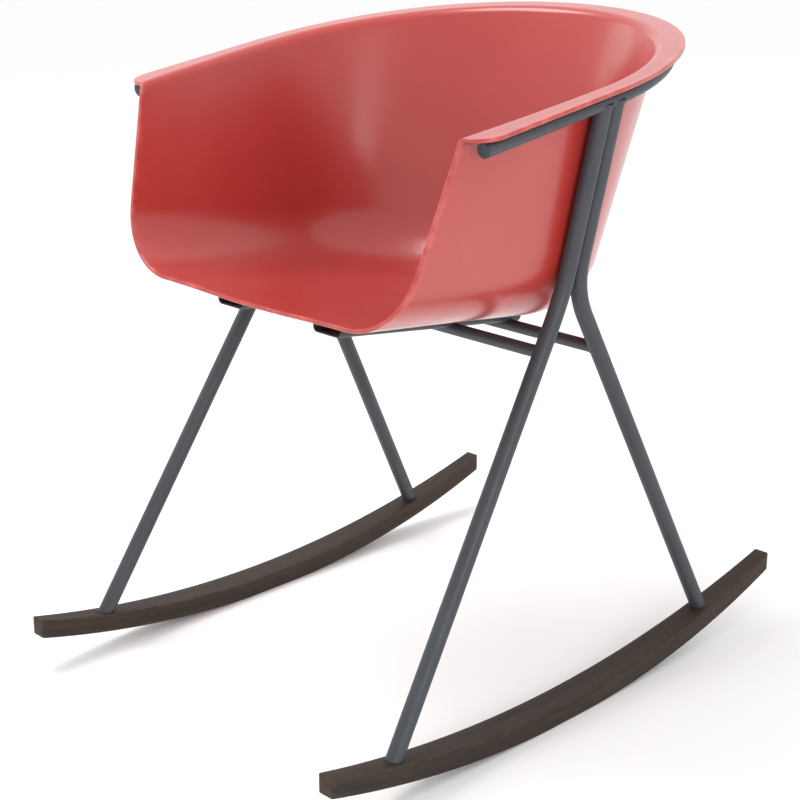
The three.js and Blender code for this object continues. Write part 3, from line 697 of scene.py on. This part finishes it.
def shell_skin(chair):
    """Both faces of the shell, half a thickness to either side of its middle surface, joined by a lip with
    rounded corners: middle + half (sqrt(cos a) . normal + sqrt(sin a) . outward) for a from 0 to 180 degrees,
    signs kept. Also gives the nearness of every vertex to the lip, from 0 to 1."""
    grid = shell_grid(chair)
    half = chair.shell.thickness / 2
    rows, columns = grid.shape[:2]
    normal = np.cross(np.gradient(grid, axis=0), np.gradient(grid, axis=1))
    normal[:, 0] = seat_upward(chair)
    normal = unit(normal)
    middle = grid - normal * half
    last = rows - 1
    outermost = columns - 1
    row_index = np.concatenate([np.zeros(columns), np.full(outermost, last), np.arange(last - 1, 0, -1)])
    row_index = row_index.astype(int)
    column_index = np.concatenate([np.arange(outermost, -1, -1), np.arange(1, columns),
                                   np.full(last - 1, outermost)])
    border = middle[row_index, column_index]
    border_normal = normal[row_index, column_index]
    tangent = unit(np.roll(border, -1, axis=0) - np.roll(border, 1, axis=0))
    outward = unit(np.cross(border_normal, tangent))
    from_inside = border - middle[np.clip(row_index, 1, last - 1), np.minimum(column_index, outermost - 1)]
    outward *= np.sign((outward * from_inside).sum(-1, keepdims=True))
    angle = np.linspace(0, np.pi, LIP_POINTS)[:, None, None]
    rise = np.sign(np.cos(angle)) * np.sqrt(np.abs(np.cos(angle)))
    lip = border + half * (rise * border_normal + np.sqrt(np.abs(np.sin(angle))) * outward)
    inner = (grid.reshape(-1, 3), grid_faces(rows, columns))
    outer = ((middle - normal * half).reshape(-1, 3), grid_faces(rows, columns))
    lip_skin = (lip.reshape(-1, 3), grid_faces(len(lip), len(border), wrap_columns=True))
    from_ends = np.minimum(np.arange(rows), last - np.arange(rows))[:, None] / 5
    from_rim = (outermost - np.arange(columns))[None] / 3
    near = np.clip(1 - np.minimum(from_ends, from_rim), 0, 1).ravel()
    edge = np.concatenate([near, near, np.ones(lip.shape[0] * lip.shape[1])])
    return joined(inner, outer, lip_skin), edge


def boss_skin(chair, end, hand):
    """A moulded boss under the seat that flares into the shell along an arc."""
    radius = chair.fixings.boss / 2
    chamfer = 0.0006
    flare_radius = 0.004
    bottom = chair.rails.sheet + chair.tubes.gap
    top = chair.rails.drop * math.cos(chair.shell.seat_tilt) + (chair.shell.thickness - chair.shell.dish) / 2
    flare_start = top - 0.0055
    flare = [(radius + flare_radius * (1 - math.cos(a)), flare_start + flare_radius * math.sin(a), 0)
             for a in np.radians(np.linspace(0, 80, 7))]
    profile = [(0, bottom, 0), (radius - chamfer, bottom, 0), (radius, bottom + chamfer, 0)]
    profile += [*flare, (0, top, 0)]
    return turned(profile, screw_place(chair, end, hand), seat_upward(chair))


def seat_shell(chair, material):
    skin, edge = shell_skin(chair)
    bosses = [boss_skin(chair, end, hand) for end in ENDS for hand in HANDS]
    edge = np.concatenate([edge, np.zeros(sum(len(vertices) for vertices, _ in bosses))])
    return add_piece(chair, "seat_shell_moulded", joined(skin, *bosses), material, ["seat_shell"],
                     {"edge": edge})


# ---- seat rails ----
def rail_outline(chair):
    """Closed section of the channel in (x, z): two upright flanges and a floor with rounded bends."""
    r = chair.rails
    half = r.width / 2
    centre = half - r.bend
    inner = r.bend - r.sheet
    quarter = np.linspace(0, np.pi / 2, 9)
    outer_arc = np.stack([centre + r.bend * np.cos(quarter), r.bend - r.bend * np.sin(quarter)], axis=-1)
    inner_arc = np.stack([centre + inner * np.cos(quarter), r.bend - inner * np.sin(quarter)], axis=-1)
    outside = np.concatenate([[[half, r.height]], outer_arc])
    inside = np.concatenate([inner_arc[::-1], [[half - r.sheet, r.height]]])
    flip = np.array([-1, 1])
    return np.concatenate([outside, outside[::-1] * flip, inside[::-1] * flip, inside])


def seat_rail(chair, hand, material):
    """The channel drawn out along the seat, its edges eased by a bevel."""
    r = chair.rails
    outline = rail_outline(chair)
    upward = seat_upward(chair)
    section = outline[:, :1] * np.array([1.0, 0, 0]) + outline[:, 1:] * upward
    rings = np.stack([np.array([HANDS[hand] * r.centre, y, rail_floor(chair, y)]) + section
                      for y in (r.front, r.rear)])
    count = len(outline)
    faces = grid_faces(2, count, wrap_columns=True) + [list(range(count)), list(range(count, 2 * count))]
    rail = add_piece(chair, f"seat_rail_channel_{hand}", (rings.reshape(-1, 3), faces), material,
                     [f"seat_rail_{hand}"])
    eased = rail.modifiers.new("Eased edges", "BEVEL")
    eased.width = 0.0005
    eased.segments = 2
    eased.limit_method = "ANGLE"
    eased.angle_limit = math.radians(50)
    return rail


# ---- runners ----
END_RINGS = 7                            # rings of a runner's end, with the closing point
CORNER_RUB = [0, 0.6, 1, 1, 1, 0.6, 0]   # how rubbed a runner is, round each of its corners


def runner_rings(chair, side):
    """Sections of a runner at plumb stations: a rectangle between the two arcs with rounded corners. Towards
    each end the section draws in along a quarter circle, so the cut ends are eased too."""
    sizes = chair.runner
    ease = sizes.edge_round
    turn = np.linspace(0, np.pi / 2, END_RINGS - 1)
    ends_in = ease * (1 - np.sin(turn))
    drawn_in = ease * (1 - np.cos(turn))
    long = np.linspace(sizes.front + ease, sizes.rear - ease, 150)
    y = np.concatenate([(sizes.front + ends_in)[::-1], long[1:-1], sizes.rear - ends_in])
    shrink = np.concatenate([drawn_in[::-1], np.zeros(len(long) - 2), drawn_in])
    middle = (sizes.front + sizes.rear) / 2
    part = (y - middle) / (sizes.rear - middle)
    half = (sizes.mid_width - (sizes.mid_width - sizes.end_width) * part ** 2) / 2 - shrink
    top = runner_top(chair, y) - shrink
    bottom = runner_bottom(chair, y) + shrink
    radius = np.maximum(ease - shrink, 0.0001)
    angle = np.linspace(0, np.pi / 2, len(CORNER_RUB))
    corners = []
    for quadrant in range(4):
        a = angle + quadrant * np.pi / 2
        right = 1 if quadrant in (0, 3) else -1
        up = 1 if quadrant in (0, 1) else -1
        x = side * sizes.spacing / 2 + right * (half - radius)[:, None] + radius[:, None] * np.cos(a)
        level = top - radius if up > 0 else bottom + radius
        z = level[:, None] + radius[:, None] * np.sin(a)
        corners.append(points(x, np.broadcast_to(y[:, None], x.shape), z))
    return np.concatenate(corners, axis=1)


def bored(piece, bores):
    """The piece with each closed bore cut out of it."""
    for vertices, faces in bores:
        mesh = skin_mesh("bore", vertices, faces)
        close_skin(mesh)
        cutter = placed("bore", mesh)
        cut = piece.modifiers.new("Bore", "BOOLEAN")
        cut.operation = "DIFFERENCE"
        cut.solver = "EXACT"
        cut.object = cutter
        result = bpy.data.meshes.new_from_object(piece.evaluated_get(bpy.context.evaluated_depsgraph_get()))
        piece.modifiers.clear()
        piece.data = result
        bpy.data.objects.remove(cutter)
    return piece


def runner(chair, hand, material):
    """A runner with its grain along the arc, its rubbed edges, and the holes that the bolt heads sit in."""
    side = HANDS[hand]
    rings = runner_rings(chair, side)
    closed = capped(rings)
    arc = np.arcsin((closed[..., 1] - chair.runner.low_y) / chair.runner.top_radius) * chair.runner.top_radius
    grain = points(arc + side * 3, closed[..., 0] - side * chair.runner.spacing / 2,
                   closed[..., 2] - runner_top(chair, closed[..., 1])).reshape(-1, 3)
    edge = np.broadcast_to(np.tile(CORNER_RUB, 4), closed.shape[:2]).copy()
    for tip in (edge[:END_RINGS], edge[-END_RINGS:]):
        np.maximum(tip, 0.8, out=tip)
    piece = add_piece(chair, f"runner_wood_{hand}", ring_skin(rings), material, [f"runner_{hand}"],
                      {"grain": grain, "edge": edge.ravel()})
    radius = chair.fixings.bolt_head / 2 + chair.tubes.gap
    depth = 0.04
    profile = [(0, -depth, 0), (radius, -depth, 0), (radius, 0, 0), (0, 0, 0)]
    bores = []
    for end in ENDS:
        head_seat, _, upward = bolt_place(chair, end, hand)
        bores.append(turned(profile, head_seat + drawing_origin(chair), upward, 32))
    return bored(piece, bores)


# ---- materials ----
class Finish:
    """A principled material and short names for the nodes that feed it."""

    def __init__(self, name):
        self.material = bpy.data.materials.new(name)
        self.material.use_nodes = True
        self.nodes = self.material.node_tree.nodes
        self.links = self.material.node_tree.links
        self.shader = self.nodes["Principled BSDF"]

    def put(self, kind, inputs=None, **settings):
        node = self.nodes.new(kind)
        for key, value in settings.items():
            setattr(node, key, value)
        for key, value in (inputs or {}).items():
            if isinstance(value, bpy.types.NodeSocket):
                self.links.new(value, node.inputs[key])
            else:
                node.inputs[key].default_value = value
        return node

    def place(self, scale=(1, 1, 1), mark=None):
        """Object coordinates, or a named vector of the mesh, stretched by scale."""
        if mark:
            source = self.put("ShaderNodeAttribute", attribute_name=mark).outputs["Vector"]
        else:
            source = self.put("ShaderNodeTexCoord").outputs["Object"]
        return self.put("ShaderNodeMapping", {"Vector": source, "Scale": scale}).outputs[0]

    def mark(self, name):
        return self.put("ShaderNodeAttribute", attribute_name=name).outputs["Fac"]

    def noise(self, place, scale, detail=4.0, roughness=0.55):
        inputs = {"Vector": place, "Scale": scale, "Detail": detail, "Roughness": roughness}
        return self.put("ShaderNodeTexNoise", inputs).outputs["Fac"]

    def spread(self, value, low, high, to_low=0.0, to_high=1.0):
        inputs = {"Value": value, "From Min": low, "From Max": high, "To Min": to_low, "To Max": to_high}
        return self.put("ShaderNodeMapRange", inputs).outputs["Result"]

    def times(self, first, second):
        return self.put("ShaderNodeMath", {0: first, 1: second}, operation="MULTIPLY").outputs[0]

    def mix(self, share, first, second):
        """Colour from first to second."""
        node = self.put("ShaderNodeMix", {"Factor": share}, data_type="RGBA")
        for socket, value in ((node.inputs[6], first), (node.inputs[7], second)):
            if isinstance(value, bpy.types.NodeSocket):
                self.links.new(value, socket)
            else:
                socket.default_value = (*value, 1)
        return node.outputs[2]

    def bump(self, height, strength, distance, under=None):
        inputs = {"Height": height, "Strength": strength, "Distance": distance}
        if under is not None:
            inputs["Normal"] = under
        return self.put("ShaderNodeBump", inputs).outputs["Normal"]

    def finish(self, colour_socket, roughness, normal, **constants):
        self.links.new(colour_socket, self.shader.inputs["Base Color"])
        self.links.new(roughness, self.shader.inputs["Roughness"])
        self.links.new(normal, self.shader.inputs["Normal"])
        for key, value in constants.items():
            self.shader.inputs[key.replace("_", " ")].default_value = value
        return self.material


def moulded_plastic(chair):
    """Satin coral moulding: faint colour drift, a fine spark-eroded texture, and pale polished edges."""
    f = Finish("moulded_plastic")
    colours = chair.finish
    place = f.place()
    drift = f.spread(f.noise(place, 7.0, 3.0), 0.3, 0.7)
    body = f.mix(drift, colours.shell, colours.shell_deep)
    rub = f.spread(f.noise(place, 55.0, 5.0), 0.42, 0.68)
    worn = f.times(f.times(f.mark("edge"), rub), 0.55)
    top = f.mix(worn, body, colours.shell_worn)
    smear = f.noise(place, 14.0, 5.0, 0.6)
    roughness = f.spread(smear, 0.3, 0.7, 0.27, 0.32)
    texture = f.noise(place, 1700.0, 2.0)
    flow = f.noise(place, 26.0, 2.0)
    normal = f.bump(texture, 0.1, 0.0002, f.bump(flow, 0.05, 0.002))
    return f.finish(top, roughness, normal, IOR=1.5, Coat_Weight=0.5, Coat_Roughness=0.18)


def powder_coat(chair):
    """Satin anthracite powder coat with orange peel and a few rubbed specks."""
    f = Finish("powder_coat")
    colours = chair.finish
    place = f.place()
    drift = f.spread(f.noise(place, 10.0, 3.0), 0.3, 0.7)
    body = f.mix(drift, colours.paint, colours.paint_deep)
    specks = f.spread(f.noise(place, 420.0, 6.0, 0.7), 0.66, 0.78, 0.0, 0.6)
    top = f.mix(specks, body, colours.paint_worn)
    roughness = f.spread(f.noise(place, 35.0, 5.0), 0.3, 0.7, 0.4, 0.52)
    peel = f.noise(place, 520.0, 2.0)
    grit = f.noise(place, 2400.0, 2.0)
    normal = f.bump(grit, 0.1, 0.0002, f.bump(peel, 0.16, 0.0006))
    return f.finish(top, roughness, normal, IOR=1.5)


def stained_wood(chair):
    """Dark stained wood: long grain bands, fine pores drawn out along the runner, and edges rubbed paler."""
    f = Finish("stained_wood")
    colours = chair.finish
    bands = f.noise(f.place((1.6, 62, 62), mark="grain"), 1.0, 5.0, 0.6)
    pores = f.noise(f.place((20, 900, 900), mark="grain"), 1.0, 3.0, 0.6)
    cloud = f.noise(f.place((5, 14, 14), mark="grain"), 1.0, 2.0)
    light = f.spread(bands, 0.32, 0.68)
    body = f.mix(light, colours.wood_dark, colours.wood)
    pored = f.mix(f.spread(pores, 0.52, 0.72, 0.0, 0.6), body, colours.wood_dark)
    stained = f.mix(f.spread(cloud, 0.3, 0.75, 0.0, 0.3), pored, colours.wood_dark)
    rub = f.spread(f.noise(f.place((60, 200, 200), mark="grain"), 1.0, 5.0), 0.4, 0.66)
    worn = f.times(f.times(f.mark("edge"), rub), 0.6)
    top = f.mix(worn, stained, colours.wood_worn)
    roughness = f.spread(pores, 0.3, 0.75, 0.55, 0.75)
    normal = f.bump(pores, 0.22, 0.0004, f.bump(bands, 0.1, 0.001))
    return f.finish(top, roughness, normal, IOR=1.42)


def metal(name, bright, patch_scale, dulled, dark, rough_scale, rough_range, turning, turning_scale):
    """Bare metal with dull patches, and with turned marks drawn out by a stretch along z."""
    f = Finish(name)
    patches = f.spread(f.noise(f.place(), patch_scale, 5.0), 0.35, 0.7)
    body = f.mix(f.times(patches, dulled), bright, [c * dark for c in bright])
    roughness = f.spread(f.noise(f.place(), rough_scale, 4.0), 0.3, 0.7, *rough_range)
    normal = f.bump(f.noise(f.place((1, 1, turning)), turning_scale, 3.0), 0.15, 0.0002)
    return f.finish(body, roughness, normal, Metallic=1.0)


def zinc_plate(chair):
    return metal("zinc_plate", chair.finish.steel, 180.0, 0.5, 0.5, 300.0, (0.24, 0.44), 8, 500.0)


def yellow_brass(chair):
    return metal("yellow_brass", chair.finish.brass, 260.0, 0.6, 0.45, 420.0, (0.26, 0.46), 6, 600.0)


def plug_plastic(chair):
    """Black-grey moulded plugs with a matt grain."""
    f = Finish("plug_plastic")
    colours = chair.finish
    place = f.place()
    drift = f.spread(f.noise(place, 90.0, 4.0), 0.35, 0.7)
    body = f.mix(f.times(drift, 0.4), colours.plug, colours.paint)
    roughness = f.spread(f.noise(place, 200.0, 4.0), 0.3, 0.7, 0.5, 0.66)
    normal = f.bump(f.noise(place, 1500.0, 2.0), 0.2, 0.0002)
    return f.finish(body, roughness, normal)


def studio_floor(chair):
    """Pale painted floor with a barely seen mottle."""
    f = Finish("studio_floor")
    colours = chair.finish
    mottle = f.spread(f.noise(f.place(), 3.0, 4.0), 0.3, 0.7)
    body = f.mix(f.times(mottle, 0.25), colours.floor, [c * 0.985 for c in colours.floor])
    roughness = f.spread(mottle, 0.0, 1.0, 0.85, 0.92)
    normal = f.bump(f.noise(f.place(), 160.0, 3.0), 0.02, 0.0005)
    return f.finish(body, roughness, normal)


# ---- stage ----
def studio_ground(material):
    """A round floor out to 20 m, in rings that widen outwards."""
    radius = np.array([0.0, 1.0, 2.0, 4.0, 8.0, 20.0])[:, None]
    angle = full_turn(96)
    rings = points(radius * np.cos(angle), radius * np.sin(angle), 0 * radius * angle)
    faces = grid_faces(len(radius), len(angle), wrap_columns=True)
    mesh = skin_mesh("studio_floor", rings.reshape(-1, 3), faces)
    mesh.materials.append(material)
    placed("studio_floor", mesh)


# Place, aim and width of each softbox, in metres.
SOFTBOXES = {
    "key": ((-0.9, -0.5, 2.5), (0, 0, 0.4), 1.2),
    "back": ((-1.7, 1.5, 1.6), (0, 0, 0.6), 1.5),
    "side": ((-2.3, -0.1, 1.1), (0, 0.1, 0.6), 0.9),
    "front": ((2.0, -0.75, 0.95), (-0.15, 0.15, 0.6), 0.6),
}


def softbox(name, place, aim, width, power):
    light = bpy.data.lights.new(name, "AREA")
    light.shape = "SQUARE"
    light.size = width
    light.energy = power
    lamp = placed(name, light)
    lamp.location = place
    lamp.rotation_euler = (Vector(aim) - Vector(place)).to_track_quat("-Z", "Y").to_euler()


def studio_camera(chair):
    """The camera looks at a point near the middle of the frame, and stands back from it along
    (sin azimuth cos elevation, -cos azimuth cos elevation, sin elevation)."""
    s = chair.stage
    low, high = CAD_BOUNDS
    aim = (low + high) / 2 - Vector((0, s.aim_forward, s.aim_down))
    level = math.cos(s.elevation)
    back = Vector((math.sin(s.azimuth) * level, -math.cos(s.azimuth) * level, math.sin(s.elevation)))
    data = bpy.data.cameras.new("studio_camera")
    data.lens = s.lens
    data.sensor_width = 36
    data.clip_end = 40
    camera = placed("studio_camera", data)
    camera.location = aim + back * s.distance
    camera.rotation_euler = (math.pi / 2 - s.elevation, 0, s.azimuth)
    bpy.context.scene.camera = camera


def studio_sky(strength):
    world = bpy.data.worlds.new("studio_sky")
    world.use_nodes = True
    background = world.node_tree.nodes["Background"]
    background.inputs["Color"].default_value = (1, 1, 1, 1)
    background.inputs["Strength"].default_value = strength
    bpy.context.scene.world = world


# ---- operators ----
class ROCKER_OT_shell(Operator):
    """Make the moulded shell with its rim and bosses"""
    bl_idname = "rocker.shell"
    bl_label = "Seat shell"

    def execute(self, context):
        chair = context.scene.rocking_chair
        seat_shell(chair, moulded_plastic(chair))
        return {"FINISHED"}


class ROCKER_OT_tubes(Operator):
    """Make the arm tube, the legs and the cross tubes with their weld beads"""
    bl_idname = "rocker.tubes"
    bl_label = "Tube frame"

    def execute(self, context):
        chair = context.scene.rocking_chair
        paint = powder_coat(chair)
        arm_tube(chair, paint)
        for end in ENDS:
            cross_tube(chair, end, paint)
            for hand in HANDS:
                leg(chair, end, hand, paint)
        return {"FINISHED"}


class ROCKER_OT_rails(Operator):
    """Make the two channels under the seat"""
    bl_idname = "rocker.rails"
    bl_label = "Seat rails"

    def execute(self, context):
        chair = context.scene.rocking_chair
        paint = bpy.data.materials.get("powder_coat") or powder_coat(chair)
        for hand in HANDS:
            seat_rail(chair, hand, paint)
        return {"FINISHED"}


class ROCKER_OT_runners(Operator):
    """Make the two stained wood runners"""
    bl_idname = "rocker.runners"
    bl_label = "Runners"

    def execute(self, context):
        chair = context.scene.rocking_chair
        wood = stained_wood(chair)
        for hand in HANDS:
            runner(chair, hand, wood)
        return {"FINISHED"}


class ROCKER_OT_fixings(Operator):
    """Make the tube plugs, screws and bolts, and finish the inserts and bushes"""
    bl_idname = "rocker.fixings"
    bl_label = "Plugs and fixings"

    def execute(self, context):
        chair = context.scene.rocking_chair
        zinc = zinc_plate(chair)
        brass = yellow_brass(chair)
        plug = plug_plastic(chair)
        for hand in HANDS:
            tube_plug(chair, hand, plug)
            for end in ENDS:
                seat_screw(chair, end, hand, zinc)
                runner_bolt(chair, end, hand, zinc)
                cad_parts[f"leg_bush_{end}_{hand}"].material_slots[0].material = zinc
                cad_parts[f"seat_insert_{end}_{hand}"].material_slots[0].material = brass
        return {"FINISHED"}


class ROCKER_OT_stage(Operator):
    """Make the floor, the softboxes, the white surround and the camera"""
    bl_idname = "rocker.stage"
    bl_label = "Studio stage"

    def execute(self, context):
        chair = context.scene.rocking_chair
        studio_ground(studio_floor(chair))
        for name, (place, aim, width) in SOFTBOXES.items():
            softbox(f"{name}_softbox", place, aim, width, getattr(chair.stage, name))
        studio_sky(chair.stage.sky)
        studio_camera(chair)
        context.scene.view_settings.view_transform = "Standard"
        return {"FINISHED"}


class ROCKER_PT_panel(Panel):
    bl_label = "Rocking chair"
    bl_idname = "ROCKER_PT_panel"
    bl_space_type = "VIEW_3D"
    bl_region_type = "UI"
    bl_category = "Rocking chair"

    def draw(self, context):
        for operator in OPERATORS:
            self.layout.operator(operator.bl_idname)


GROUPS = [ShellSizes, TubeSizes, RailSizes, RunnerSizes, FixingSizes, Finishes, StageSettings, RockingChair]
OPERATORS = [ROCKER_OT_shell, ROCKER_OT_tubes, ROCKER_OT_rails, ROCKER_OT_runners, ROCKER_OT_fixings,
             ROCKER_OT_stage]


def register():
    for item in [*GROUPS, *OPERATORS, ROCKER_PT_panel]:
        bpy.utils.register_class(item)
    bpy.types.Scene.rocking_chair = PointerProperty(type=RockingChair)


def unregister():
    del bpy.types.Scene.rocking_chair
    for item in reversed([*GROUPS, *OPERATORS, ROCKER_PT_panel]):
        bpy.utils.unregister_class(item)


def main():
    register()
    bpy.ops.rocker.shell()
    bpy.ops.rocker.tubes()
    bpy.ops.rocker.rails()
    bpy.ops.rocker.runners()
    bpy.ops.rocker.fixings()
    bpy.ops.rocker.stage()


if __name__ == "__main__":
    main()
